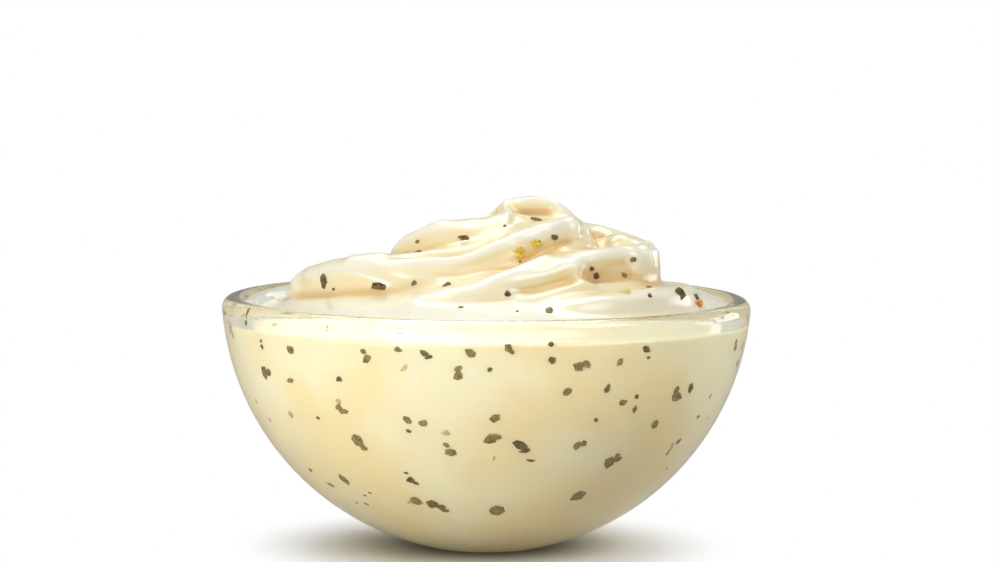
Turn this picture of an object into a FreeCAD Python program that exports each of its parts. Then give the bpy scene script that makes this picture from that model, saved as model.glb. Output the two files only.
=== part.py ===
"""Round glass bowl heaped with bearnaise sauce: two solids, in millimetres, with +Z up.

The origin is the centre of the bowl's foot, on the table, and the front is -Y. The sauce takes its
shape from the bowl's cavity, from its level and from a swirl of folds that lean on one another.
"""
import FreeCAD, Part
import math
import os

# The bowl: a piece of a sphere, cut flat at the foot and open at the top
RIM_DIAMETER = 90.0
BOWL_HEIGHT = 42.5
FOOT_DIAMETER = 20.0
FOOT_ROUNDING = 6.0
WALL = 4.0
RIM_FLAT = 0.2
BASE_THICKNESS = 4.5

# The sauce: how full the bowl is, and how far the folds stand above the rim
FIT_GAP = 0.1
LEVEL_BELOW_RIM = 3.9
FILLING_TOP = 6.1
CORE_RADIUS = 27.0
CORE_EDGE = -1.0
CORE_TOP = 12.0
SWIRL_CENTRE = (4.0, 0.0)
HEAP_HEIGHT = 17.5
STEEPNESS = 0.63
OVERHANG = 0.5
FULLNESS = 0.3
RIB_HEIGHT = 0.15
RIBS = 3

# Net of the sauce's surface: it reaches past the wall, falls away there, and is closest at the middle
NET_LINES = 100
NET_MARGIN = 6.0
NET_DROP = 4.0
NET_FALL = 2.0
NET_CLOSENESS = 0.7
STATIONS = 64

# The folds are drawn in mm for this mouth radius and heap height, and are stretched with the bowl.
# turn is in degrees round the swirl (0 right, 90 back, 180 left, 270 front). reach and rise are smooth
# curves from a start to an end, out from the centre and up from the rim. width and depth are half sizes
# at the start and the end. nose and tail are the rounded shares of the length.
DRAWN_MOUTH = 41.0
DRAWN_HEAP = 17.5
FOLDS = {
    "front": dict(turn=(165, 393), reach=(37.5, 8.0, 4.0, 13.5, 9.5), rise=(0.6, -3.0, 12.0, 12.0, 7.9),
                  width=(8.5, 3.2), depth=(7.8, 2.8), nose=0.18, tail=0.12),
    "slope": dict(turn=(210, 385), reach=(31.0, 22.0, 6.5, 23.5, 22.0), rise=(-4.3, -1.4, 7.3, 8.6, 1.4),
                  width=(6.5, 4.6), depth=(4.4, 3.8), nose=0.20, tail=0.20),
    "upper": dict(turn=(168, 385), reach=(20.0, -7.0, 9.0), rise=(5.2, 12.8, 7.5),
                  width=(6.5, 4.6), depth=(6.0, 4.4), nose=0.27, tail=0.12),
    "cap": dict(turn=(219, 323), reach=(13.0, 8.0, 10.0, 9.5), rise=(8.1, 13.9, 13.7, 9.5),
                width=(3.6, 3.4), depth=(3.4, 3.6), nose=0.24, tail=0.15, shift=(2.5, 12.0)),
    "lip": dict(turn=(200, 326), reach=(7.5, 9.0, 0.5, 9.5, 7.0), rise=(12.5, 18.4, 12.8, 19.8, 9.0),
                width=(2.4, 2.2), depth=(1.5, 1.8), nose=0.20, tail=0.15, shift=(4.5, 6.0)),
    "ledge": dict(turn=(410, 345), reach=(9.0, 18.0, 22.0), rise=(9.6, 8.0, 4.5),
                  width=(3.6, 5.0), depth=(3.6, 4.8), nose=0.20, tail=0.20),
    "shoulder": dict(turn=(262, 440), reach=(29.5, 16.0, 37.0, 26.0), rise=(-3.9, 2.6, -4.4, -1.8),
                     width=(6.0, 6.0), depth=(4.0, 3.8), nose=0.20, tail=0.20),
    "back": dict(turn=(45, 190), reach=(24.0, 18.0, 16.0), rise=(0.0, 4.0, 0.0),
                 width=(9.0, 7.0), depth=(6.0, 5.0), nose=0.22, tail=0.22),
    "heel": dict(turn=(20, 140), reach=(14.0, 12.0, 11.0), rise=(5.5, 6.5, 6.0),
                 width=(6.0, 6.0), depth=(5.0, 5.0), nose=0.18, tail=0.18),
}


def smooth(values, share):
    """Follow a smooth curve from the first value to the last, drawn towards those between."""
    while len(values) > 1:
        values = [between(pair, share) for pair in zip(values, values[1:])]
    return values[0]


def between(values, share):
    """Go straight from the first value to the second."""
    return values[0] + (values[1] - values[0]) * share


def line(start, end):
    """Straight edge between two (radius, height) points."""
    return Part.makeLine(FreeCAD.Vector(start[0], 0, start[1]), FreeCAD.Vector(end[0], 0, end[1]))


def sphere_radius(radius, middle, height):
    """Radius of a level cut through a sphere whose middle is at the given height."""
    return math.sqrt(radius ** 2 - (height - middle) ** 2)


def sphere_arc(radius, middle, low, high):
    """Arc of a sphere's outline between two heights."""
    points = []
    for height in (low, (low + high) / 2, high):
        points.append(FreeCAD.Vector(sphere_radius(radius, middle, height), 0, height))
    return Part.Arc(*points).toShape()


def mound(share, low, high):
    """Height of a soft mound at a share of its radius: steep at its edge, gentle at its top."""
    return low + (high - low) * max(0.0, 1 - share) ** STEEPNESS


def turned(edges):
    """Revolve a closed outline round the bowl's axis."""
    face = Part.Face(Part.Wire(edges))
    return face.revolve(FreeCAD.Vector(0, 0, 0), FreeCAD.Vector(0, 0, 1), 360)


def round_edges(solid, low, high):
    """Closed edges of the solid that lie level between two heights."""
    found = []
    for edge in solid.Edges:
        box = edge.BoundBox
        if edge.isClosed() and box.ZLength < RIM_FLAT and low < box.ZMin < high:
            found.append(edge)
    return found


# Spheres of the outside and of the cavity
rim = RIM_DIAMETER / 2
foot = FOOT_DIAMETER / 2
mouth = rim - WALL
outer_middle = (rim ** 2 + BOWL_HEIGHT ** 2 - foot ** 2) / (2 * BOWL_HEIGHT)
outer_radius = math.hypot(foot, outer_middle)
cavity_depth = BOWL_HEIGHT - BASE_THICKNESS
cavity_radius = (mouth ** 2 + cavity_depth ** 2) / (2 * cavity_depth)
cavity_middle = BASE_THICKNESS + cavity_radius

# Bowl
outline = [
    line((0, 0), (foot, 0)),
    sphere_arc(outer_radius, outer_middle, 0, BOWL_HEIGHT),
    line((rim, BOWL_HEIGHT), (mouth, BOWL_HEIGHT)),
    sphere_arc(cavity_radius, cavity_middle, BASE_THICKNESS, BOWL_HEIGHT),
    line((0, BASE_THICKNESS), (0, 0)),
]
bowl = turned(outline)
rim_edges = round_edges(bowl, BOWL_HEIGHT - RIM_FLAT, BOWL_HEIGHT + RIM_FLAT)
bowl = bowl.makeFillet((WALL - RIM_FLAT) / 2, rim_edges)
bowl = bowl.makeFillet(FOOT_ROUNDING, round_edges(bowl, -RIM_FLAT, RIM_FLAT))

# Room the sauce can take: the cavity, and a column over it
fill_radius = cavity_radius - FIT_GAP
floor = cavity_middle - fill_radius
fill_mouth = sphere_radius(fill_radius, cavity_middle, BOWL_HEIGHT)
ceiling = BOWL_HEIGHT + 2 * HEAP_HEIGHT
outline = [
    sphere_arc(fill_radius, cavity_middle, floor, BOWL_HEIGHT),
    line((fill_mouth, BOWL_HEIGHT), (fill_mouth, ceiling)),
    line((fill_mouth, ceiling), (0, ceiling)),
    line((0, ceiling), (0, floor)),
]
room = turned(outline)

# Surface of the sauce
level = BOWL_HEIGHT - LEVEL_BELOW_RIM
level_radius = sphere_radius(fill_radius, cavity_middle, level)
spread = mouth / DRAWN_MOUTH
lift = HEAP_HEIGHT / DRAWN_HEAP
centre = FreeCAD.Vector(SWIRL_CENTRE[0] * spread, SWIRL_CENTRE[1] * spread, 0)


def base_height(x, y):
    """Filling and core, without the folds; past the wall the surface falls away."""
    radius = math.hypot(x, y)
    filling = mound(radius / level_radius, level, BOWL_HEIGHT + FILLING_TOP)
    if radius > level_radius:
        filling = level - min(NET_DROP, NET_FALL * (radius - level_radius))
    share = math.hypot(x - centre.x, y - centre.y) / (CORE_RADIUS * spread)
    if share > 1:
        return filling
    return max(filling, mound(share, BOWL_HEIGHT + CORE_EDGE * lift, BOWL_HEIGHT + CORE_TOP * lift))


def lean(height):
    """How much wider the heap gets at a height, so that its folds hang over a little."""
    return 1 + OVERHANG * max(0.0, height - BOWL_HEIGHT) / HEAP_HEIGHT


def rounding(fold, share):
    """Share of the full section: a fold closes like an ellipse at both ends."""
    near = min(1.0, share / fold["nose"], (1 - share) / fold["tail"])
    return math.sqrt(1 - (1 - near) ** 2)


def spine(fold, share):
    """Middle of a fold at a share of its length."""
    angle = math.radians(between(fold["turn"], share))
    reach = smooth(fold["reach"], share)
    shift = fold.get("shift", (0.0, 0.0))
    x = (shift[0] + reach * math.cos(angle)) * spread
    y = (shift[1] + reach * math.sin(angle)) * spread
    return centre + FreeCAD.Vector(x, y, BOWL_HEIGHT + smooth(fold["rise"], share) * lift)


def stations(fold):
    """Buttons of sauce along a fold: middle, bottom, half width, height and the direction across."""
    found = []
    for number in range(1, STATIONS):
        share = number / STATIONS
        middle = spine(fold, share)
        along = spine(fold, share + 0.5 / STATIONS) - spine(fold, share - 0.5 / STATIONS)
        across = FreeCAD.Vector(along.y, -along.x, 0)
        across.normalize()
        size = rounding(fold, share)
        width = between(fold["width"], share) * size * spread / lean(middle.z)
        depth = between(fold["depth"], share) * lift
        place = centre + (middle - centre) / lean(middle.z)
        found.append((place.x, place.y, middle.z - depth, width, 2 * depth * size, across))
    return found


def net_offset(number):
    """Place of a net line, from -1 to 1 times the half size of the net."""
    share = 2 * number / (NET_LINES - 1) - 1
    return (mouth + NET_MARGIN) * (NET_CLOSENESS * share + (1 - NET_CLOSENESS) * share ** 3)


offsets = [net_offset(number) for number in range(NET_LINES)]
heights = [[base_height(x, y) for y in offsets] for x in offsets]
for fold in FOLDS.values():
    for mx, my, bottom, width, tall, across in stations(fold):
        columns = [number for number in range(NET_LINES) if abs(offsets[number] - my) < width]
        for row in range(NET_LINES):
            dx = offsets[row] - mx
            if abs(dx) >= width:
                continue
            for column in columns:
                dy = offsets[column] - my
                inside = 1 - (dx * dx + dy * dy) / width ** 2
                if inside > 0:
                    rib = RIB_HEIGHT * math.cos(math.pi * RIBS * (dx * across.x + dy * across.y) / width)
                    height = bottom + (tall + rib) * inside ** FULLNESS
                    heights[row][column] = max(heights[row][column], height)



def soft(lines):
    """Even out each line of heights with its neighbours; the outermost lines stay."""
    found = [lines[0]]
    for before, here, after in zip(lines, lines[1:], lines[2:]):
        found.append([(a + 2 * b + c) / 4 for a, b, c in zip(before, here, after)])
    return found + [lines[-1]]


heights = soft(heights)
heights = list(zip(*soft(list(zip(*heights)))))

poles = []
for x, column_heights in zip(offsets, heights):
    poles.append([])
    for y, height in zip(offsets, column_heights):
        place = centre + (FreeCAD.Vector(x, y, 0) - centre) * lean(height)
        poles[-1].append(FreeCAD.Vector(place.x, place.y, height))

knots = list(range(NET_LINES - 2))
counts = [4] + [1] * (NET_LINES - 4) + [4]
surface = Part.BSplineSurface()
surface.buildFromPolesMultsKnots(poles, counts, counts, knots, knots, False, False, 3, 3)
cover = surface.toShape()
down = FreeCAD.Vector(0, 0, -BOWL_HEIGHT)
walls = [edge.extrude(down) for edge in cover.Edges]
under = Part.Face(Part.Wire(Part.__sortEdges__([edge.translated(down) for edge in cover.Edges])))
block = Part.Shell([cover] + walls + [under])
block.sewShape()
sauce = room.common(Part.Solid(block))

os.makedirs("parts", exist_ok=True)
for name, shape in (("bowl", bowl), ("sauce", sauce)):
    volume = round(shape.Volume / 1000, 1)
    print(name, "valid", shape.isValid(), "solids", len(shape.Solids), "cm3", volume)
    shape.exportStep("parts/" + name + ".step")
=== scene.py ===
# %% [markdown]
# # A glass bowl of bearnaise sauce
# A small, thick glass bowl is filled with pale butter sauce, flecked with dried herbs and heaped in
# soft folds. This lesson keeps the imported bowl, gives it a glass finish, and turns the plain solid
# of sauce into a whipped, glossy heap with its herbs. Every size is in metres, with +Z up, and the
# front of the object looks towards -Y.

import math
import random

import bmesh
import bpy
import numpy as np
from mathutils import Matrix, Vector, bvhtree, noise


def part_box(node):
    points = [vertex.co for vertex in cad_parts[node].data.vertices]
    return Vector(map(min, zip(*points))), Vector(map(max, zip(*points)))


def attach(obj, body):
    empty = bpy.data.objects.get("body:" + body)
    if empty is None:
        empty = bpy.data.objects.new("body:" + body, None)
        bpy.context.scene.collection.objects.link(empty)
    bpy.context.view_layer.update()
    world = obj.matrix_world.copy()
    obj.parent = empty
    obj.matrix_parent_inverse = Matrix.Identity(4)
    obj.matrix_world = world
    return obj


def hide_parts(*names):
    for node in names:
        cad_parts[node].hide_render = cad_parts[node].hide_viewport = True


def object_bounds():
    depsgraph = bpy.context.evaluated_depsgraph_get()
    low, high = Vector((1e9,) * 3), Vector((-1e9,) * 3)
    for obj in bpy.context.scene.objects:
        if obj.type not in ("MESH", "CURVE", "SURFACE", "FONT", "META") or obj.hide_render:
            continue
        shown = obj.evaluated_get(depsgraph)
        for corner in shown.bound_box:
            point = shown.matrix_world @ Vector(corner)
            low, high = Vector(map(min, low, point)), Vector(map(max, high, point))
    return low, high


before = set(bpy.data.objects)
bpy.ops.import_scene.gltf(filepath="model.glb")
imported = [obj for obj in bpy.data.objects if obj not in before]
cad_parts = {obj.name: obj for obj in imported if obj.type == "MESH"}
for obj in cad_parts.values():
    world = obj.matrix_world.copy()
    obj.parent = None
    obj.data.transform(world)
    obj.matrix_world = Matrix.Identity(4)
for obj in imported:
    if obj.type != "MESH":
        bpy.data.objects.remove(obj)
cad_box = [list(corner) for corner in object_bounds()]
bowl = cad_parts["bowl"]
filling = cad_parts["sauce"]
print("frame holds", list(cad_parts), "in a box", cad_box)

MM = 0.001
scene = bpy.context.scene

# %% [markdown]
# ## The view
# The bowl is seen from just above table height through a long lens, so that the rim is a narrow
# ellipse and the sides hardly converge. A camera far away with a long lens does that. The view is
# turned by less than half a degree, because the object leans a little in it.

# %% Camera
AIM = Vector((2.3, 0, 45.1)) * MM
DISTANCE = 0.7
ELEVATION = math.radians(5.0)
ROLL = math.radians(0.4)
VIEW_WIDTH = 0.1701
SENSOR = 36

back = Vector((0, -math.cos(ELEVATION), math.sin(ELEVATION)))
camera = bpy.data.objects.new("camera", bpy.data.cameras.new("camera"))
camera.data.sensor_width = SENSOR
camera.data.lens = SENSOR * DISTANCE / VIEW_WIDTH
camera.data.clip_start = 0.01
camera.rotation_mode = "QUATERNION"
camera.location = AIM + back * DISTANCE
roll = Matrix.Rotation(ROLL, 3, "Z").to_quaternion()
camera.rotation_quaternion = (-back).to_track_quat("-Z", "Y") @ roll
scene.collection.objects.link(camera)
scene.camera = camera
scene.view_settings.view_transform = "Standard"
print("camera lens", round(camera.data.lens, 1), "mm")

# %% [markdown]
# ## Writing materials as sums
# A material is a net of nodes, and a sum such as `0.3 + 0.1 * patches` needs several of them. One
# small class wraps a socket, so that Python's own signs add the Math nodes, and one method makes
# every other node: its kind, its settings, then what goes into its sockets.

# %% Value and Finish
class Value:
    """A value in a node tree. Python's signs on it add Math nodes."""

    def __init__(self, finish, socket):
        self.finish = finish
        self.socket = socket

    def maths(self, operation, *parts):
        return self.finish.node("ShaderNodeMath", dict(operation=operation), dict(enumerate(parts)))

    def __add__(self, other):
        return self.maths("ADD", self, other)

    def __radd__(self, other):
        return self.maths("ADD", other, self)

    def __sub__(self, other):
        return self.maths("SUBTRACT", self, other)

    def __rsub__(self, other):
        return self.maths("SUBTRACT", other, self)

    def __mul__(self, other):
        return self.maths("MULTIPLY", self, other)

    def __rmul__(self, other):
        return self.maths("MULTIPLY", other, self)

    def either(self, other):
        """The larger of two values, so 1 where one of two masks is 1."""
        return self.maths("MAXIMUM", self, other)

    def below(self, limit):
        return self.maths("LESS_THAN", self, limit)


class Finish:
    """A node tree that is filled node by node."""

    def __init__(self, tree):
        self.tree = tree
        tree.nodes.clear()

    def node(self, kind, settings, values, output=0):
        """A node of this kind, with its settings first and then what goes into its sockets."""
        made = self.tree.nodes.new(kind)
        for name, setting in settings.items():
            setattr(made, name, setting)
        for name, value in values.items():
            if isinstance(value, Value):
                self.tree.links.new(value.socket, made.inputs[name])
            else:
                made.inputs[name].default_value = value
        return Value(self, made.outputs[output]) if made.outputs else None

    def place(self):
        return self.node("ShaderNodeTexCoord", {}, {}, "Object")

    def ray(self, kind):
        """What kind of ray meets the surface."""
        return self.node("ShaderNodeLightPath", {}, {}, kind)

    def patches(self, size, detail=2.0):
        """Soft random patches of about this size, from 0 to 1."""
        spot = self.node("ShaderNodeMapping", {}, {"Vector": self.place(), "Scale": [1 / size] * 3})
        return self.node("ShaderNodeTexNoise", {}, {"Vector": spot, "Scale": 1.0, "Detail": detail}, "Fac")

    def step(self, value, low, high):
        """0 below low, 1 above high, and smooth between them."""
        return self.node("ShaderNodeMapRange", dict(interpolation_type="SMOOTHSTEP"),
                         {"Value": value, "From Min": low, "From Max": high})

    def mix(self, share, first, second):
        """A share of the second colour over the first. The Mix node's colours are its inputs 6 and 7."""
        return self.node("ShaderNodeMix", dict(data_type="RGBA"), {0: share, 6: first, 7: second}, 2)

    def bump(self, height, depth):
        return self.node("ShaderNodeBump", {}, {"Height": height, "Distance": depth, "Strength": 1.0})

    def principled(self, sockets):
        return self.node("ShaderNodeBsdfPrincipled", {}, sockets)

    def blend(self, share, first, second):
        """A share of the second shader in the first."""
        return self.node("ShaderNodeMixShader", {}, {0: share, 1: first, 2: second})

    def end(self, shader, kind="ShaderNodeOutputMaterial"):
        self.node(kind, {}, {"Surface": shader})


def new_material(name):
    material = bpy.data.materials.new(name)
    material.use_nodes = True
    return material, Finish(material.node_tree)


def colour(red, green, blue):
    """A colour as a screen shows it, from 0 to 255, made linear for the shader."""
    parts = []
    for part in (red, green, blue):
        part = part / 255
        parts.append(part / 12.92 if part <= 0.04045 else ((part + 0.055) / 1.055) ** 2.4)
    return (*parts, 1.0)


PLAIN_WHITE = colour(255, 255, 255)
print("half grey on a screen is", round(colour(128, 128, 128)[0], 3), "of white in the shader")

# %% [markdown]
# ## Table and light
# The bowl stands on a white table without an edge. Near the bowl the table is a plain matt disc, so
# that it keeps the bowl's shadow, and further out it turns into an even white. The camera sees a
# painted shadow on that disc: its colour is dark close under the bowl and pale grey beside it, which
# deepens the narrow shade beside the foot. Clear glass on white shows only by what it mirrors, so the
# white is dimmer and a little warmer where it is met in the glass.

# %% Table
TABLE_RADIUS = 3.0
TABLE_DROP = 0.02 * MM
SHADED_FROM, SHADED_BY = 0.009, 0.026
WHITE_FROM, WHITE_BY = 0.020, 0.044
# Painted shadow on the table, seen only by the camera: dark close under the bowl, pale grey beside it.
PAINTED_SHADOW_UNDER_BOWL = colour(92, 90, 86)
PAINTED_SHADE_BESIDE_BOWL = colour(226, 225, 222)
TABLE_TOP = colour(250, 250, 250)
MIRRORED_WHITE = 0.42
INSIDE_WHITE = 0.82
CLEAR_WHITE = 0.92
GLASS_WARMTH = colour(255, 251, 238)

shape = bmesh.new()
bmesh.ops.create_circle(shape, cap_ends=True, segments=96, radius=TABLE_RADIUS,
                        matrix=Matrix.Translation((0, 0, -TABLE_DROP)))
table = bpy.data.objects.new("table", bpy.data.meshes.new("table"))
shape.to_mesh(table.data)
shape.free()
scene.collection.objects.link(table)


def seen_and_white(finish):
    """1 for what the camera sees, also through glass or mirrored in it, then the white that it is
    there: full white when seen directly, dimmer and a little warmer in the glass."""
    direct, clear, mirrored = map(finish.ray, ("Is Camera Ray", "Is Transmission Ray", "Is Glossy Ray"))
    unlit = finish.ray("Diffuse Depth").below(0.5)
    seen = direct.either(clear).either(mirrored) * unlit
    outside = finish.ray("Transmission Depth").below(0.5)
    mirror_white = INSIDE_WHITE + outside * (MIRRORED_WHITE - INSIDE_WHITE)
    bright = 1.0 - mirrored * (1.0 - mirror_white) - clear * (1 - CLEAR_WHITE)
    tint = finish.mix(direct, GLASS_WARMTH, PLAIN_WHITE)
    return seen, finish.node("ShaderNodeVectorMath", dict(operation="SCALE"), {0: tint, "Scale": bright})


material, finish = new_material("white_table")
seen, white = seen_and_white(finish)
reach = finish.node("ShaderNodeVectorMath", dict(operation="LENGTH"), {0: finish.place()}, "Value")
# The painted shadow: the matt colour that the camera sees runs from dark under the bowl to pale grey
# beside it.
shaded = finish.mix(finish.step(reach, SHADED_FROM, SHADED_BY), PAINTED_SHADOW_UNDER_BOWL, PAINTED_SHADE_BESIDE_BOWL)
matt = finish.node("ShaderNodeBsdfDiffuse", {}, {"Color": finish.mix(seen, TABLE_TOP, shaded)})
even = finish.node("ShaderNodeEmission", {}, {"Color": white, "Strength": 1.0})
finish.end(finish.blend(seen * finish.step(reach, WHITE_FROM, WHITE_BY), matt, even))
table.data.materials.append(material)
print("table of radius", TABLE_RADIUS, "m")

# %% [markdown]
# Whipped sauce shows its folds only when the light comes from one side. A large soft lamp low on the
# left does most of the work, one overhead and a little behind fills the tops, one high on the right
# opens the shadows, and a weak one behind on the right lights the edge. A pale surround does the rest.

# %% Lamps and surround
SURROUND = 0.28


def lamp(name, place, size, power):
    """A square soft lamp that looks at the middle of the bowl."""
    made = bpy.data.objects.new(name, bpy.data.lights.new(name, "AREA"))
    made.data.shape = "SQUARE"
    made.data.size = size
    made.data.energy = power
    made.location = place
    made.rotation_mode = "QUATERNION"
    made.rotation_quaternion = (Vector(place) - AIM).to_track_quat("Z", "Y")
    scene.collection.objects.link(made)


lamp("key", (-0.50, -0.63, 0.10), 0.28, 3.6)
lamp("overhead", (-0.02, 0.22, 0.56), 0.42, 1.9)
lamp("high_right", (0.38, -0.22, 0.50), 0.30, 1.1)
lamp("right_edge", (0.55, 0.42, 0.12), 0.30, 0.7)

world = bpy.data.worlds.new("surround")
scene.world = world
world.use_nodes = True
sky = Finish(world.node_tree)
seen, white = seen_and_white(sky)
dim = sky.node("ShaderNodeBackground", {}, {"Color": PLAIN_WHITE, "Strength": SURROUND})
even = sky.node("ShaderNodeBackground", {}, {"Color": white, "Strength": 1.0})
sky.end(sky.blend(seen, dim, even), "ShaderNodeOutputWorld")
print("four lamps, surround at", SURROUND)

# %% [markdown]
# ## The cavity
# The sauce has to meet the glass with no air between them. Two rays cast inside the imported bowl,
# one down and one sideways, find the sphere of the cavity. They run just off the axes, so that
# neither meets an edge of the mesh.

# %% Measure the cavity
SIDE_HEIGHT = 25 * MM
OFF_AXIS = 0.2 * MM
SIDEWAYS_RAY = Vector((0.999, 0.02, 0)).normalized()


def surface_tree(piece):
    """What rays and nearest places on a piece are found with."""
    return bvhtree.BVHTree.FromObject(piece, bpy.context.evaluated_depsgraph_get())


glass_tree = surface_tree(bowl)
bottom = glass_tree.ray_cast(Vector((OFF_AXIS, 0, SIDE_HEIGHT)), Vector((0, 0, -1)))[0]
side = glass_tree.ray_cast(Vector((0, 0, SIDE_HEIGHT)), SIDEWAYS_RAY)[0]
side_reach = math.hypot(side.x, side.y)
rise = side.z - bottom.z
cavity_radius = (side_reach ** 2 + rise ** 2) / (2 * rise)
cavity_middle = bottom.z + cavity_radius
rim_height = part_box("bowl")[1].z
print("cavity radius", round(cavity_radius / MM, 2), "mm, middle at", round(cavity_middle / MM, 2), "mm")

# %% [markdown]
# ## The heap of sauce
# Whipped butter sauce is soft: it keeps the folds that a spoon leaves, but every edge rounds off.
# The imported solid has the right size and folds, but its surface is plain. A copy of it is merged,
# rebuilt as an even skin of small squares and smoothed, and the finer shapes are then pressed and
# pulled into that skin, as a sculptor would.

# %% Skin of even squares
VOXEL = 0.4 * MM


def copy_merged(node, name):
    """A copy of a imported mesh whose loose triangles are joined."""
    made = bpy.data.objects.new(name, node.data.copy())
    scene.collection.objects.link(made)
    shape = bmesh.new()
    shape.from_mesh(made.data)
    bmesh.ops.remove_doubles(shape, verts=shape.verts, dist=1e-6)
    bmesh.ops.recalc_face_normals(shape, faces=shape.faces)
    shape.to_mesh(made.data)
    shape.free()
    return made


def apply_modifiers(piece):
    """Keep what the modifiers show as the mesh itself."""
    shown = piece.evaluated_get(bpy.context.evaluated_depsgraph_get())
    made = bpy.data.meshes.new_from_object(shown)
    piece.modifiers.clear()
    piece.data = made


def smooth_shaded(mesh):
    mesh.polygons.foreach_set("use_smooth", [True] * len(mesh.polygons))
    mesh.update()


sauce = copy_merged(filling, "sauce_heap")
skin = sauce.modifiers.new("skin", "REMESH")
skin.mode = "VOXEL"
skin.voxel_size = VOXEL
soft = sauce.modifiers.new("soft", "SMOOTH")
soft.factor = 0.5
soft.iterations = 12
apply_modifiers(sauce)
smooth_shaded(sauce.data)
print("skin has", len(sauce.data.vertices), "vertices")

# %% [markdown]
# ## Folds, hollows and streaks
# A fold of whipped sauce has a rounded crest that catches the light, and a hollow beneath it where
# the next fold was laid. Each is one stroke: a smooth line through a few places on the heap, as seen
# from the front, along which the skin is raised or pressed. The strokes fade at both ends.

# %% Points of a mesh as tables
def points_of(mesh):
    found = np.empty(len(mesh.vertices) * 3)
    mesh.vertices.foreach_get("co", found)
    return found.reshape(-1, 3)


def normals_of(mesh):
    found = np.empty(len(mesh.vertices) * 3)
    mesh.vertex_normals.foreach_get("vector", found)
    return found.reshape(-1, 3)


def put_points(mesh, points):
    mesh.vertices.foreach_set("co", points.ravel())
    mesh.update()


def soften(mesh, rounds, share=0.5):
    """Draw every point towards the middle of its neighbours."""
    ends = np.empty(len(mesh.edges) * 2, dtype=np.int64)
    mesh.edges.foreach_get("vertices", ends)
    first, second = ends[0::2], ends[1::2]
    count = len(mesh.vertices)
    links = np.bincount(first, minlength=count) + np.bincount(second, minlength=count)
    points = points_of(mesh)
    for _ in range(rounds):
        total = np.zeros_like(points)
        for axis in range(3):
            total[:, axis] = (np.bincount(first, points[second, axis], count)
                              + np.bincount(second, points[first, axis], count))
        points += (total / links[:, None] - points) * share
    put_points(mesh, points)


top = points_of(sauce.data)[:, 2].max()
print("the plain skin reaches", round(float(top) / MM, 2), "mm up")

# %% Places on the heap in a look from the front
SIDEWAYS = camera.rotation_quaternion @ Vector((1, 0, 0))
UPWARDS = camera.rotation_quaternion @ Vector((0, 1, 0)) * math.cos(ELEVATION)
NORMAL_TO_EYE = 0.4


def look_past(across, height, turn=0):
    """Eye of the camera, or of a camera that is turned round the bowl by degrees, and the place that
    it sees so far across and so high beside the bowl's axis, in mm."""
    turned = Matrix.Rotation(math.radians(turn), 3, "Z")
    place = AIM + SIDEWAYS * (across * MM - AIM.x) + UPWARDS * (height * MM - AIM.z)
    return turned @ camera.location, turned @ place


def on_heap(tree, across, height, turn=0):
    """Place where such a look meets the sauce, and the skin's normal, tilted a little to the eye."""
    eye, beside = look_past(across, height, turn)
    view = (beside - eye).normalized()
    place, normal = tree.ray_cast(eye, view)[:2]
    if place is None:
        place, normal = tree.find_nearest(beside)[:2]
    return place, (normal - view * NORMAL_TO_EYE).normalized()


OVER_RIM = 6
front = on_heap(surface_tree(sauce), 0, rim_height / MM + OVER_RIM)[0]
print(OVER_RIM, "mm over the rim the heap's front lies", round(-front.y / MM, 1), "mm before the axis")

# %% Strokes
FADE = 0.25
LINE_STEPS = 8
REACH_WIDTHS = 3


def smooth_line(places):
    """Smooth line through the places, in short steps."""
    places = [2 * places[0] - places[1], *places, 2 * places[-1] - places[-2]]
    line = []
    for before, start, end, after in zip(places, places[1:], places[2:], places[3:]):
        for step in range(LINE_STEPS):
            t = step / LINE_STEPS
            line.append(0.5 * (2 * start + (end - before) * t
                               + (2 * before - 5 * start + 4 * end - after) * t ** 2
                               + (3 * start - before - 3 * end + after) * t ** 3))
    return line + [places[-2]]


def weights_along(points, line, width):
    """How strongly a stroke acts on each point: 1 on the line, next to nothing two widths away, and
    fading out over a share of its length at each end."""
    line = np.array([tuple(place) for place in line])
    room = REACH_WIDTHS * width
    box = (points > line.min(0) - room).all(1) & (points < line.max(0) + room).all(1)
    near = np.flatnonzero(box)
    gaps = np.linalg.norm(points[near, None, :] - line[None], axis=2)
    share = gaps.argmin(1) / (len(line) - 1)
    ends = np.clip(np.minimum(share, 1 - share) / FADE, 0, 1)
    weight = np.exp(-(gaps.min(1) / width) ** 2) * ends * ends * (3 - 2 * ends)
    return near, weight


def draw(piece, strokes):
    """Work a set of strokes into the skin. Each is a line of (across, height) in mm, its half width,
    how far it is raised (minus presses), and how far it is pulled along X, Y and Z, all in mm."""
    tree = surface_tree(piece)
    points = points_of(piece.data)
    normals = normals_of(piece.data)
    for places, width, lift, pull in strokes:
        line = smooth_line([on_heap(tree, across, height)[0] for across, height in places])
        near, weight = weights_along(points, line, width * MM)
        points[near] += (normals[near] * lift + np.array(pull)) * MM * weight[:, None]
    put_points(piece.data, points)


print("strokes fade over", FADE, "of their length at each end")

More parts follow.
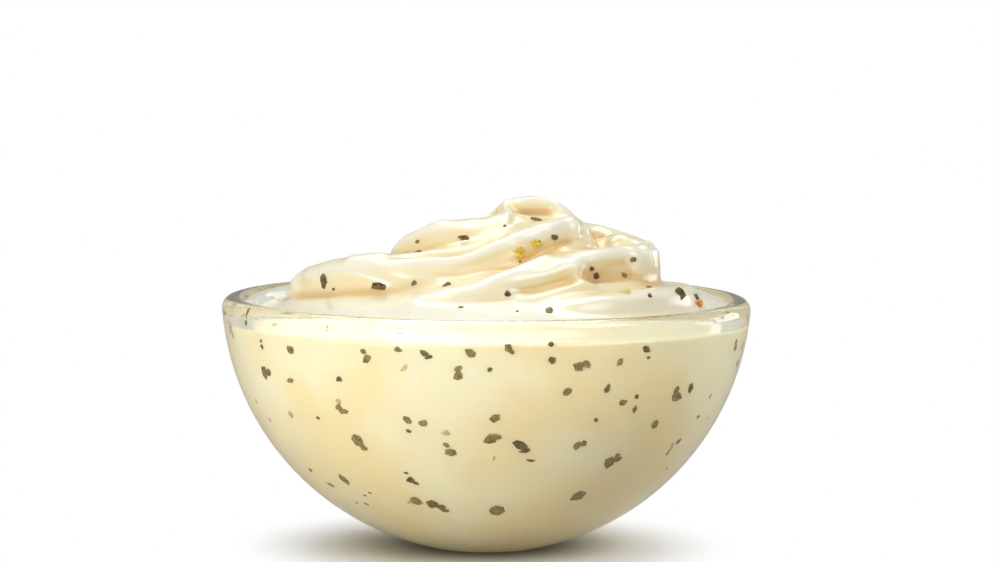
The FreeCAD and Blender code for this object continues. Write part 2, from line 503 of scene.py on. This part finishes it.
# %% Outline of the heap
STILL = (0, 0, 0)
draw(sauce, [
    ([(-34.0, 42.4), (-32.6, 43.4), (-31.4, 44.8)], 2.0, 0.0, (-0.9, 0, 0.8)),
    ([(-40.0, 40.4), (-37.5, 41.2), (-34.5, 41.8)], 2.2, 0.0, (0, 0, 0.9)),
    ([(-15.8, 49.2), (-15.0, 50.6), (-14.0, 51.8)], 2.2, 0.0, (-1.3, 0, 0.1)),
    ([(-25.0, 48.2), (-20.7, 49.0), (-17.0, 49.0)], 2.6, 0.0, (0, 0, 0.7)),
    ([(-15.5, 50.0), (-12.2, 52.4), (-8.8, 54.0), (-4.5, 55.0)], 2.4, 0.0, (-0.3, 0, 1.0)),
    ([(-0.8, 56.4), (1.2, 57.8)], 1.4, 0.0, (0.3, 0, -0.5)),
    ([(27.0, 52.0), (28.4, 50.8)], 2.2, 0.0, (-0.7, 0, -0.9)),
    ([(17.5, 54.6), (23.6, 53.7), (27.5, 52.0)], 2.2, 0.0, (-0.1, 0, -0.8)),
])
print("outline pulled into place")

# %% Hollows
draw(sauce, [
    ([(15.5, 46.8), (19.5, 46.9), (23.5, 48.2), (26.4, 49.0)], 2.5, -1.7, STILL),
    ([(3.4, 57.2), (8.0, 57.8), (12.6, 57.6)], 1.3, -1.6, STILL),
    ([(-1.6, 54.8), (0.8, 56.5), (3.2, 57.6)], 1.2, -0.9, STILL),
    ([(-3.0, 45.8), (4.7, 47.6), (8.6, 49.7), (12.0, 51.2), (15.0, 52.3), (17.5, 52.7)],
     1.2, -1.1, STILL),
    ([(4.0, 43.4), (9.0, 44.2), (13.0, 45.2), (16.5, 46.0)], 1.1, -0.9, STILL),
])
draw(sauce, [
    ([(15.0, 45.8), (19.0, 45.3), (23.0, 45.6), (28.0, 46.2)], 0.9, -0.9, STILL),
    ([(16.0, 53.6), (18.3, 52.9), (21.5, 53.0)], 0.8, -0.8, STILL),
    ([(-18.0, 49.6), (-12.0, 49.6), (-6.5, 49.6), (-2.6, 50.2), (1.0, 52.2), (3.5, 53.8)],
     0.8, -0.8, STILL),
    ([(16.2, 56.0), (16.6, 54.5), (16.8, 52.4)], 0.7, -0.7, STILL),
])
print("hollows pressed")

# %% Crests
draw(sauce, [
    ([(-17.3, 48.6), (-6.5, 48.6), (-2.6, 49.3), (2.2, 51.3), (7.1, 53.3), (12.0, 54.8), (14.4, 56.0)],
     1.2, 0.8, STILL),
    ([(-7.5, 41.8), (2.2, 45.6), (7.1, 47.7), (12.0, 49.7), (15.9, 51.0), (21.8, 52.0)], 1.5, 0.8, STILL),
    ([(17.0, 51.3), (21.8, 52.2), (24.7, 51.9), (27.2, 50.0), (28.4, 46.5)], 1.0, 0.7, STILL),
    ([(0.0, 41.2), (9.6, 42.4), (15.4, 44.2), (21.8, 44.6), (28.5, 44.8)], 1.2, 0.6, STILL),
    ([(3.2, 58.8), (7.0, 59.3), (11.0, 59.1), (13.4, 57.6)], 0.8, 0.3, (0, -0.9, 0)),
    ([(12.6, 57.4), (14.4, 55.6), (15.1, 53.6), (14.4, 51.8)], 1.2, 0.6, STILL),
])
draw(sauce, [
    ([(-10.0, 47.1), (-4.0, 46.9), (0.0, 47.8), (3.7, 49.3), (8.0, 51.2)], 0.6, 0.3, STILL),
    ([(-12.5, 50.4), (-7.0, 50.2), (-2.0, 51.0)], 0.5, 0.3, STILL),
    ([(3.5, 59.3), (3.4, 58.0), (3.5, 56.4), (3.2, 54.2)], 0.5, 1.1, STILL),
    ([(1.8, 57.8), (2.0, 56.6), (2.0, 55.2)], 0.4, 0.4, STILL),
])
soften(sauce.data, 2)
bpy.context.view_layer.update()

# %% [markdown]
# The spoon also leaves fine streaks, which run round the heap and climb with its folds. A number that
# is the same all along one streak, height less a share of the turn, drives a soft random wave.

# %% Streaks
CLIMB = 4.3
STREAK = 1.5
STREAK_DEPTH = 0.28
STREAK_RISE = 3 * MM
SWIRL = Vector((4, 0)) * MM
STREAKS_FROM = rim_height - 1 * MM
WANDER = 1.3


def streak_wave(point):
    """Height of the streaks at a point, from -1 to 1, stronger in some places than in others."""
    turn = math.atan2(point[1] - SWIRL.y, SWIRL.x - point[0])
    along = (point[2] / MM - CLIMB * turn) / STREAK
    reach = math.hypot(point[0] - SWIRL.x, point[1] - SWIRL.y) / MM
    fine = noise.noise(Vector((along, WANDER * math.cos(turn), WANDER * math.sin(turn) + 0.12 * reach)))
    strong = noise.noise(Vector((reach * 0.1, along * 0.25, 2 * turn + 9)))
    return fine * max(0.0, min(1.0, 0.6 + 1.5 * strong))


points = points_of(sauce.data)
high = np.flatnonzero(points[:, 2] > STREAKS_FROM)
waves = np.array([streak_wave(points[index]) for index in high])
rise_in = np.clip((points[high, 2] - STREAKS_FROM) / STREAK_RISE, 0, 1)
points[high] += normals_of(sauce.data)[high] * (waves * rise_in * STREAK_DEPTH * MM)[:, None]
put_points(sauce.data, points)
soften(sauce.data, 1)
print("streaks from", round(STREAKS_FROM / MM, 1), "mm up")

# %% [markdown]
# ## Against the glass
# Where sauce touches a clear bowl, no air shows between them, so the sauce's skin has to end just
# inside the wall of the glass. All points near the wall are moved out along the cavity's radius. That
# part of the skin is a smooth shell and needs fewer faces than the folds do, so it is thinned.

# %% Push the sauce just into the glass
SINK = 0.12 * MM
CATCH = 0.7 * MM
SEAT_BELOW_RIM = 3.2 * MM
TOP_GAP = 0.03 * MM


def from_middle(points):
    """From the middle of the cavity's sphere to each point, and how far that is."""
    away = points - np.array((0, 0, cavity_middle))
    return away, np.linalg.norm(away, axis=1)


def seat_in_glass(mesh):
    """Points next to the wall move out past it, along the cavity's radius."""
    points = points_of(mesh)
    away, reach = from_middle(points)
    near = (reach > cavity_radius - CATCH) & (points[:, 2] < rim_height - SEAT_BELOW_RIM)
    outward = away[near] / reach[near, None]
    points[near] = np.array((0, 0, cavity_middle)) + outward * (cavity_radius + SINK)
    put_points(mesh, points)
    return int(near.sum())


def lower_heap(mesh, top):
    """Scale what stands above the rim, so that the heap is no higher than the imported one."""
    points = points_of(mesh)
    above = points[:, 2] > rim_height
    share = (top - rim_height) / (points[:, 2].max() - rim_height)
    points[above, 2] = rim_height + (points[above, 2] - rim_height) * min(1.0, share)
    put_points(mesh, points)


lower_heap(sauce.data, cad_box[1][2] - TOP_GAP)
print("points against the glass", seat_in_glass(sauce.data))

# %% Thin the skin where it lies flat against the glass
WALL_KEPT = 0.62

against_glass = sauce.vertex_groups.new(name="against_glass")
reach = from_middle(points_of(sauce.data))[1]
against_glass.add(np.flatnonzero(reach > cavity_radius).tolist(), 1.0, "REPLACE")
thin = sauce.modifiers.new("thin", "DECIMATE")
thin.ratio = WALL_KEPT
thin.vertex_group = "against_glass"
apply_modifiers(sauce)
smooth_shaded(sauce.data)
seat_in_glass(sauce.data)
print("skin now has", len(sauce.data.polygons), "faces")

# %% [markdown]
# ## The sauce's finish
# Butter sauce is pale cream, wet and a little translucent. Light that has run through it comes out
# warmer, so its hollows look peach and its crests nearly white. Subsurface scattering gives the soft
# glow, but not all of that change, so the rest is painted into the colour: the skin gets a number for
# how deep each point lies, compared with a copy of itself that is smoothed many times. The number
# steers a painted peach shade in the hollows and a painted near-white highlight on the crests.

# %% Mark the hollows
HOLLOW_ROUNDS = 60
HOLLOW_SHARE = 0.8
WALL_FADE = 1.5 * MM

plain = sauce.data.copy()
soften(plain, HOLLOW_ROUNDS, HOLLOW_SHARE)
depth = ((points_of(plain) - points_of(sauce.data)) * normals_of(sauce.data)).sum(1) / MM
bpy.data.meshes.remove(plain)
reach = from_middle(points_of(sauce.data))[1]
depth *= 1 - np.clip((reach - cavity_radius + WALL_FADE) / WALL_FADE, 0, 1)
hollow = sauce.data.attributes.new("hollow", "FLOAT", "POINT")
hollow.data.foreach_set("value", depth)
print("hollows to", round(float(depth.max()), 2), "mm, crests to", round(float(-depth.min()), 2), "mm")

# %% Finish of the sauce
# Two creams vary at random. The other colours are painted light: a painted peach shade in the hollows, a
# painted near-white highlight on the crests, a painted white sheen on the skirt above the rim, and a
# painted darker, warmer shade on the brim where the sauce meets the glass.
CREAM, WARM_CREAM = colour(253, 239, 204), colour(251, 229, 179)
PAINTED_HOLLOW_SHADE, PAINTED_CREST_HIGHLIGHT = colour(246, 211, 146), colour(255, 247, 225)
PAINTED_SKIRT_SHEEN, PAINTED_BRIM_SHADE = colour(255, 248, 230), colour(250, 226, 168)
SKIRT_ENDS = (-0.5, 3.5)
BRIM_STARTS = (-3.8, -3.3)
BRIM_TO_SKIRT = (-3.0, -1.2)
MOTTLE_SIZE = 15 * MM
PORE_SIZE, PORE_DEPTH = 2.2 * MM, 0.012 * MM

material, finish = new_material("bearnaise_cream")
height = finish.node("ShaderNodeSeparateXYZ", {}, {0: finish.place()}, "Z")


def over(levels):
    """0 below and 1 above two levels, given in mm over the rim."""
    return finish.step(height, *(rim_height + level * MM for level in levels))


mottle = finish.step(finish.patches(MOTTLE_SIZE), 0.36, 0.66)
sunk = finish.node("ShaderNodeAttribute", dict(attribute_name="hollow"), {}, "Fac")
# Bands by height: a painted white sheen on the skirt just above the rim, and a painted darker, warmer
# shade on the brim where the sauce meets the glass.
painted_sheen_band = (1.0 - over(SKIRT_ENDS)) * over(BRIM_TO_SKIRT)
painted_shade_band = over(BRIM_STARTS) * (1.0 - over(BRIM_TO_SKIRT))
cream_with_painted_light = finish.mix(mottle, CREAM, WARM_CREAM)
cream_with_painted_light = finish.mix(0.8 * painted_sheen_band, cream_with_painted_light, PAINTED_SKIRT_SHEEN)
cream_with_painted_light = finish.mix(0.9 * painted_shade_band, cream_with_painted_light, PAINTED_BRIM_SHADE)
# Painted peach shade in the hollows and a painted near-white highlight on the crests, steered by how deep
# each point lies.
cream_with_painted_light = finish.mix(finish.step(sunk, 0.04, 0.55), cream_with_painted_light, PAINTED_HOLLOW_SHADE)
cream_with_painted_light = finish.mix(finish.step(0.0 - sunk, 0.05, 0.5), cream_with_painted_light, PAINTED_CREST_HIGHLIGHT)
finish.end(finish.principled({
    "Base Color": cream_with_painted_light, "Roughness": 0.30 + 0.03 * mottle, "IOR": 1.45,
    "Normal": finish.bump(finish.patches(PORE_SIZE), PORE_DEPTH),
    "Subsurface Weight": 0.5, "Subsurface Radius": (1.0, 0.6, 0.3), "Subsurface Scale": 1.6 * MM,
    "Coat Weight": 0.6, "Coat Roughness": 0.10}))
sauce.data.materials.clear()
sauce.data.materials.append(material)
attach(sauce, "root")
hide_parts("sauce")
print("the sauce rides on the root body and stands for its packed solid")

# %% [markdown]
# ## Herbs
# The flecks are dried tarragon and chervil: chopped leaf, one to three millimetres long, thin, bent
# and cornered. Some are dark and crisp, some olive, and some are veiled by a thin film of sauce. Each
# flake starts as a small ring of corners, which is pulled uneven, given a thickness and bent. Those
# that face the front are placed one by one, as a cook sees them, and the rest are scattered.

# %% One flake
draw_lots = random.Random(11)
LEAF_THICK = 0.22
LEAF_SINK = 0.4
LEAF_TILT = 9
LOBED_FROM = 1.7
LOBED_SHARE = 0.5
TAPER = 0.93
print("a flake is", LEAF_THICK, "mm thick")


def turned_to(place, normal, lean):
    """Matrix that lays a flat thing on a surface, its long side leaning by degrees in a front view."""
    side = Vector((0, 0, 1)).cross(normal)
    side = side.normalized() if side.length > 0.05 else Vector((1, 0, 0))
    up = normal.cross(side)
    turn = Matrix((side, up, normal)).transposed()
    return Matrix.Translation(place) @ (turn @ Matrix.Rotation(math.radians(lean), 3, "Z")).to_4x4()


def add_flake(shape, place, normal, long, wide, lean):
    """A bent leaf flake of this length and width in mm; half of the longer ones have a second lobe."""
    if long > LOBED_FROM and draw_lots.random() < LOBED_SHARE:
        layer = turned_to(place, normal, lean)
        beside = layer @ Vector((0.28 * long * MM, draw_lots.choice((-0.3, 0.3)) * wide * MM, 0))
        add_flake(shape, beside, normal, 0.6 * long, 0.65 * wide, lean + draw_lots.uniform(-60, 60))
        place = layer @ Vector((-0.14 * long * MM, 0, 0))
        long *= 0.8
    ring = bmesh.ops.create_circle(shape, cap_ends=True, segments=draw_lots.randint(5, 8), radius=0.5)
    for corner in ring["verts"]:
        corner.co *= draw_lots.uniform(0.66, 1.28)
    under = ring["verts"][0].link_faces[0]
    raised = bmesh.ops.extrude_face_region(shape, geom=[under])["geom"]
    top = [part for part in raised if isinstance(part, bmesh.types.BMFace)]
    top_corners = [part for part in raised if isinstance(part, bmesh.types.BMVert)]
    middle = bmesh.ops.poke(shape, faces=top)["verts"]
    for corner in top_corners:
        corner.co = Vector((corner.co.x * TAPER, corner.co.y * TAPER, draw_lots.uniform(0.7, 1.2)))
    for corner in middle:
        corner.co.z = draw_lots.uniform(0.6, 1.7)
    tilt = Matrix.Rotation(math.radians(draw_lots.uniform(-LEAF_TILT, LEAF_TILT)), 4, "X")
    size = Matrix.Diagonal((long * MM, wide * MM, LEAF_THICK * MM, 1))
    sink = Matrix.Translation((0, 0, -LEAF_SINK * LEAF_THICK * MM))
    laid = turned_to(place, normal, lean) @ sink @ tilt @ size
    bmesh.ops.transform(shape, matrix=laid, verts=ring["verts"] + top_corners + middle)


def new_piece(name, shape, material):
    """Turn a filled bmesh into a piece of the object."""
    bmesh.ops.recalc_face_normals(shape, faces=shape.faces)
    piece = bpy.data.objects.new(name, bpy.data.meshes.new(name))
    shape.to_mesh(piece.data)
    shape.free()
    piece.data.materials.append(material)
    scene.collection.objects.link(piece)
    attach(piece, "root")
    print(name, "has", len(piece.data.polygons), "faces")
    return piece


# %% [markdown]
# The glass is as thick as the flakes are long, and it bends the view. A flake that touches it from
# inside shows somewhere else than it lies. So each look is followed through the glass: it meets the
# outside, bends by Snell's law, and goes on to the sauce.

# %% Places behind the glass
GLASS_BENDS = 1.5
FRONT_NEARER = 0.965
FRONT_LOWER = 1.54


def on_wall(across, height, turn=0):
    """Place on the sauce that shows there through the glass, and the way out from it. Across and
    height are in mm at the bowl's front, which is nearer than its axis and lies lower in the look."""
    eye, beside = look_past(across / FRONT_NEARER, (height - FRONT_LOWER) / FRONT_NEARER, turn)
    view = (beside - eye).normalized()
    outside, outward = glass_tree.ray_cast(eye, view)[:2]
    if outside is None:
        outside, outward = glass_tree.find_nearest(beside)[:2]
    cosine = -view.dot(outward)
    bent = math.sqrt(1 - (1 - cosine ** 2) / GLASS_BENDS ** 2)
    inside = view / GLASS_BENDS + outward * (cosine / GLASS_BENDS - bent)
    start = outside - Vector((0, 0, cavity_middle))
    ahead = start.dot(inside)
    gap = (cavity_radius + SINK) ** 2 - start.length_squared + ahead ** 2
    place = start - inside * (ahead + math.sqrt(max(0.0, gap)))
    return place + Vector((0, 0, cavity_middle)), place.normalized()


print("the look at the front's middle meets the sauce at", on_wall(0, 25)[0])

# %% [markdown]
# The rows below say where each flake of the front lies: across and height in mm in a look from the
# front, its length and width in mm, and by how many degrees its long side leans.

# %% Where the herbs lie
ON_HEAP_DARK = [
    (-27.6, 45.1, 2.5, 1.7, -60), (-26.0, 43.7, 0.8, 0.5, -20), (-17.8, 44.1, 3.3, 1.6, -5),
    (-6.7, 44.4, 1.3, 1.5, -40), (3.5, 42.9, 1.2, 1.4, 0), (-3.8, 52.3, 2.0, 1.2, -20),
    (3.1, 54.5, 0.6, 0.4, 0), (8.4, 55.5, 2.7, 2.0, -15), (11.5, 52.6, 1.6, 1.0, -15),
    (17.9, 47.2, 1.0, 0.8, -30), (18.5, 46.0, 1.5, 1.2, -40), (27.7, 44.0, 1.2, 1.4, 15),
    (27.7, 42.6, 0.9, 1.1, -30), (32.9, 42.7, 2.5, 2.4, -10), (35.6, 42.2, 1.7, 1.6, -35),
    (5.7, 48.4, 0.5, 0.4, 0), (5.2, 39.9, 0.7, 0.5, -30), (-4.3, 40.6, 0.9, 0.4, 5),
]
ON_HEAP_OLIVE = [
    (-12.3, 44.6, 1.2, 1.6, 0), (-11.8, 51.8, 1.0, 0.8, 30), (23.4, 46.1, 1.4, 0.8, -15),
    (24.9, 48.8, 1.3, 1.0, 15), (10.8, 40.0, 1.5, 2.4, -10),
]
ON_WALL_DARK = [
    (-37.0, 35.2, 0.7, 0.6, 0), (-36.9, 34.2, 1.1, 0.8, -30), (-10.0, 33.0, 2.0, 1.0, -20),
    (-36.2, 29.7, 2.6, 3.0, -30), (-24.2, 29.0, 1.6, 1.0, 0), (0.5, 30.5, 0.9, 1.0, 0),
    (-27.6, 22.5, 1.0, 0.7, -20), (10.6, 34.6, 1.2, 0.9, -20), (10.8, 32.0, 2.0, 1.4, -50),
    (26.2, 33.8, 1.7, 1.0, -40), (26.6, 32.4, 0.8, 0.5, 0), (24.7, 26.0, 0.9, 1.1, 0),
    (18.0, 22.2, 1.1, 1.0, -20), (-12.9, 20.4, 1.0, 0.7, -15), (6.0, 17.8, 3.2, 1.5, -35),
    (7.2, 15.5, 1.4, 0.8, -10), (-13.2, 13.5, 1.0, 0.5, -5), (-12.2, 12.2, 2.0, 1.5, -15),
    (-20.0, 9.8, 0.6, 0.5, 0), (-8.2, 8.2, 3.0, 2.8, 0),
]
ON_WALL_OLIVE = [
    (-32.2, 33.8, 1.6, 1.5, 0), (-20.3, 33.4, 1.2, 0.9, -40), (-19.6, 32.3, 1.8, 1.5, 30),
    (-14.6, 33.7, 1.8, 1.0, 0), (-2.7, 33.1, 1.9, 1.4, -15), (-32.3, 28.6, 2.0, 1.0, 10),
    (-4.5, 29.7, 2.4, 1.7, 60), (-23.8, 24.0, 2.0, 1.6, 0), (-13.1, 22.3, 1.9, 1.0, -50),
    (-10.5, 21.6, 1.7, 1.2, 15), (1.4, 22.5, 1.8, 1.6, 30), (3.9, 33.9, 1.8, 1.6, -20),
    (15.7, 30.9, 2.7, 1.8, -5), (21.9, 31.7, 1.4, 1.6, 0), (13.2, 26.7, 1.6, 1.4, 35),
    (19.9, 27.4, 1.1, 1.5, 0), (22.5, 25.1, 1.6, 1.1, -10), (24.4, 24.0, 0.9, 1.4, 0),
    (31.3, 26.3, 2.6, 2.6, 80), (27.7, 21.5, 1.6, 1.5, 0), (34.7, 22.7, 1.0, 0.8, 0),
    (-20.7, 18.5, 3.1, 2.3, -40), (-6.6, 18.1, 1.3, 0.9, -50), (-5.8, 16.9, 1.9, 1.6, 0),
    (0.9, 18.9, 2.6, 1.9, 0), (15.2, 17.9, 2.1, 1.9, -10), (20.6, 15.6, 3.1, 2.4, 60),
    (-23.4, 12.3, 2.8, 1.9, -50), (-19.6, 8.3, 1.2, 0.7, -50), (-11.6, 8.8, 2.1, 2.3, -20),
    (1.5, 7.2, 2.4, 2.7, 0), (15.0, 9.8, 2.8, 2.5, 5),
]
ON_WALL_VEILED = [
    (-37.8, 25.3, 0.8, 0.8, 0), (-24.3, 25.3, 1.3, 1.0, -40),
    (-35.5, 22.2, 0.9, 0.8, 0), (36.8, 26.1, 0.8, 1.0, 0), (36.3, 22.4, 0.7, 0.4, 80),
    (-6.6, 20.1, 1.3, 1.0, 0), (30.3, 17.5, 1.9, 0.8, 85), (29.6, 14.2, 0.7, 0.5, 0),
    (-21.3, 8.5, 1.0, 0.7, 20),
]
ON_HEAP_VEILED = [
    (-34.5, 37.8, 1.2, 0.7, 0), (-26.0, 36.9, 0.7, 0.3, 0), (-14.0, 36.6, 1.4, 0.8, 20),
    (-0.5, 36.4, 1.3, 0.6, -25),
]
PALE_ON_HEAP = [(23.4, 43.1, 2.2, 1.6, 55)]
PALE_ON_WALL = [(-13.5, 30.7, 1.7, 0.9, 50), (-12.6, 8.6, 1.2, 0.7, 20), (1.2, 15.8, 1.0, 0.4, 80)]
print("placed by hand:", sum(map(len, (
    ON_HEAP_DARK, ON_HEAP_OLIVE, ON_HEAP_VEILED, PALE_ON_HEAP,
    ON_WALL_DARK, ON_WALL_OLIVE, ON_WALL_VEILED, PALE_ON_WALL))))

# %% [markdown]
# Behind and beside the front the flakes lie at random, as a spoon leaves them. A seeded draw gives
# the same rows each time, each with a turn round the bowl in degrees.

# %% Scatter the rest round the sides and the back
WALL_SIZES = (0.8, 1.0, 1.3, 1.6, 1.9, 2.3, 2.8)
WALL_TURNS = (90, 125, 160, 200, 235, 270)
HEAP_SIZES = (0.7, 1.0, 1.3, 1.7, 2.2)
print("scattered flakes are", HEAP_SIZES[0], "to", WALL_SIZES[-1], "mm long")


def scatter_on_wall(count):
    """Rows round the sides and the back of the bowl."""
    rows = []
    for _ in range(count):
        size = draw_lots.choice(WALL_SIZES)
        rows.append((draw_lots.uniform(-17, 17), draw_lots.uniform(8, 36), size,
                     size * draw_lots.uniform(0.5, 0.95), draw_lots.uniform(-90, 90),
                     draw_lots.choice(WALL_TURNS) + draw_lots.uniform(-12, 12)))
    return rows


def scatter_on_heap(count):
    """Rows on the back and the sides of the heap."""
    rows = []
    for _ in range(count):
        size = draw_lots.choice(HEAP_SIZES)
        rows.append((draw_lots.uniform(-22, 22), draw_lots.uniform(42, 52), size,
                     size * draw_lots.uniform(0.45, 0.9), draw_lots.uniform(-90, 90),
                     draw_lots.uniform(110, 250)))
    return rows


heap_tree = surface_tree(sauce)


def strew(name, material, heap_rows, heap_more, wall_rows, wall_more):
    """One piece of all the flakes of a kind: the rows that are given, and so many more at random."""
    heap_rows = heap_rows + scatter_on_heap(heap_more)
    wall_rows = wall_rows + scatter_on_wall(wall_more)
    shape = bmesh.new()
    for across, height, long, wide, lean, *turn in heap_rows:
        add_flake(shape, *on_heap(heap_tree, across, height, *turn), long, wide, lean)
    for across, height, long, wide, lean, *turn in wall_rows:
        add_flake(shape, *on_wall(across, height, *turn), long, wide, lean)
    new_piece(name, shape, material)


# %% [markdown]
# Dried leaf is mottled, crumpled and nearly without gloss. Four finishes differ in their two colours
# and in how much sauce lies over the leaf.

# %% Finish of the herbs, and the herbs
GREEN_TINGE = colour(120, 110, 40)
SAUCE_FILM = colour(243, 226, 178)


def leaf(name, dark, light, veil, rough):
    """Dried leaf: mottled between two colours, tinged with green, under a share of sauce."""
    material, finish = new_material(name)
    blotch = finish.step(finish.patches(0.55 * MM, 3.0), 0.35, 0.68)
    fleck = finish.step(finish.patches(3.5 * MM, 1.0), 0.42, 0.62)
    body = finish.mix(blotch, dark, light)
    body = finish.mix(0.35 * fleck, body, GREEN_TINGE)
    body = finish.mix(veil + 0.15 * finish.patches(1.1 * MM), body, SAUCE_FILM)
    finish.end(finish.principled({
        "Base Color": body, "Roughness": rough + 0.2 * blotch, "Specular IOR Level": 0.15,
        "Normal": finish.bump(finish.patches(0.35 * MM, 3.0), 0.06 * MM)}))
    return material


strew("herbs_dark", leaf("dark_leaf", colour(48, 32, 10), colour(120, 90, 34), 0.0, 0.5),
      ON_HEAP_DARK, 13, ON_WALL_DARK, 20)
strew("herbs_olive", leaf("olive_leaf", colour(84, 66, 26), colour(154, 128, 66), 0.03, 0.5),
      ON_HEAP_OLIVE, 7, ON_WALL_OLIVE, 38)
strew("herbs_veiled", leaf("veiled_leaf", colour(120, 100, 62), colour(158, 140, 96), 0.35, 0.4),
      ON_HEAP_VEILED, 0, ON_WALL_VEILED, 14)
strew("pale_slivers", leaf("pale_stalk", colour(196, 168, 84), colour(232, 208, 130), 0.1, 0.3),
      PALE_ON_HEAP, 1, PALE_ON_WALL, 2)

# %% [markdown]
# Two soft yellow crumbs, specked with leaf, and one orange chip lie on the front of the heap, and one
# more of each at its back: bits of egg and of spice. A crumb is a small faceted ball, pushed uneven
# and pressed flat into the sauce. The last number of the longer rows is its turn round the bowl.

# %% Crumbs
LUMPY = 0.28


def add_crumb(shape, place, normal, long, wide, high, lean):
    """A lump of this size in mm, half sunk."""
    ball = bmesh.ops.create_icosphere(shape, subdivisions=2, radius=0.5)["verts"]
    for corner in ball:
        corner.co *= 1 + LUMPY * noise.noise(corner.co * 5 + place * 900)
    size = Matrix.Diagonal((long * MM, wide * MM, high * MM, 1))
    bmesh.ops.transform(shape, matrix=turned_to(place, normal, lean) @ size, verts=ball)


def crumble(name, dark, light, speck, rows):
    """One piece of all the crumbs of a kind. Its rows also say how high each crumb is."""
    material, finish = new_material(name + "_crumb")
    body = finish.mix(finish.step(finish.patches(0.6 * MM, 3.0), 0.35, 0.65), dark, light)
    body = finish.mix(finish.step(finish.patches(0.42 * MM, 1.0), 0.64, 0.70), body, speck)
    finish.end(finish.principled({
        "Base Color": body, "Roughness": 0.22 + 0.2 * finish.patches(0.4 * MM),
        "Normal": finish.bump(finish.patches(0.3 * MM), 0.05 * MM), "Coat Weight": 0.3}))
    shape = bmesh.new()
    for across, height, long, wide, high, lean, *turn in rows:
        add_crumb(shape, *on_heap(heap_tree, across, height, *turn), long, wide, high, lean)
    smooth_shaded(new_piece(name, shape, material).data)


crumble("yellow_crumbs", colour(214, 176, 40), colour(240, 216, 96), colour(70, 60, 20),
        [(5.6, 49.9, 2.3, 2.2, 0.9, 0), (8.4, 51.6, 2.5, 1.3, 0.8, -5),
         (-9.0, 47.0, 1.8, 1.4, 0.8, 10, 170)])
crumble("orange_chips", colour(196, 120, 12), colour(236, 164, 40), colour(120, 60, 8),
        [(36.0, 41.2, 2.6, 1.6, 1.3, 5), (14.0, 44.0, 1.5, 1.0, 0.6, 30, 215)])

# %% [markdown]
# ## The glass
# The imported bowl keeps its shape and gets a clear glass: full transmission, the index of common
# glass, a faint waviness from the mould and a few dull smudges. For shadows it counts as plainly
# see-through, because light bent by glass is slow to work out and would leave the sauce dark.

# %% Finish of the glass
SMUDGE_SIZE = 14 * MM
WAVE_SIZE, WAVE_DEPTH = 16 * MM, 0.02 * MM

material, finish = new_material("clear_glass")
smudge = finish.step(finish.patches(SMUDGE_SIZE, 3.0), 0.5, 0.8)
wave = finish.bump(finish.patches(WAVE_SIZE, 1.0), WAVE_DEPTH)
clear = finish.principled({
    "Base Color": colour(251, 253, 250), "Roughness": 0.01 + 0.03 * smudge, "IOR": GLASS_BENDS,
    "Transmission Weight": 1.0, "Normal": wave})
through = finish.node("ShaderNodeBsdfTransparent", {}, {"Color": colour(250, 252, 250)})
finish.end(finish.blend(finish.ray("Is Shadow Ray"), clear, through))
bowl.material_slots[0].link = "OBJECT"
bowl.material_slots[0].material = material
print("the bowl's finish is", bowl.material_slots[0].material.name)
